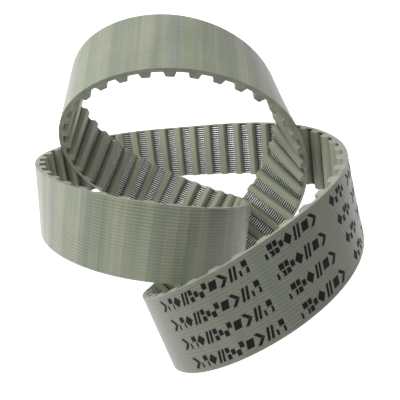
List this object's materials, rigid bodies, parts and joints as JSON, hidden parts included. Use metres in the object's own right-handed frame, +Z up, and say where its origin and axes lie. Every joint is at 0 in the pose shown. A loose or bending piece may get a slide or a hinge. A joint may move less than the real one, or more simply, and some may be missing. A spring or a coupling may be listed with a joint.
{
  "type": "timing belt",
  "caption": "Endless toothed belt with flat trapezoid teeth inside and steel tension cords, lying loose in a twisted ring on its edge.",
  "frame": {"origin": "on the floor, under the middle of the belt's outer box", "axes": "+Z up, +Y away from the side that shows the printed band low in front, +X to that side's right"},
  "size_m": [0.156, 0.1592, 0.125],
  "materials": {
    "polyurethane": "translucent grey-green cast polyurethane, satin back",
    "cord_steel": "zinc-coated stranded steel cord",
    "ink": "black printing ink"
  },
  "bodies": {
    "root": {"belt_body": "polyurethane", "cord_01": "cord_steel", "cord_02": "cord_steel", "cord_03": "cord_steel", "cord_04": "cord_steel", "cord_05": "cord_steel", "cord_06": "cord_steel", "cord_07": "cord_steel", "cord_08": "cord_steel", "cord_09": "cord_steel", "cord_10": "cord_steel", "cord_11": "cord_steel", "cord_12": "cord_steel", "cord_13": "cord_steel", "cord_14": "cord_steel", "cord_15": "cord_steel", "cord_16": "cord_steel", "cord_17": "cord_steel", "cord_18": "cord_steel", "cord_19": "cord_steel", "cord_20": "cord_steel", "cord_21": "cord_steel", "cord_22": "cord_steel", "cord_23": "cord_steel", "cord_24": "cord_steel"}
  },
  "joints": []
}
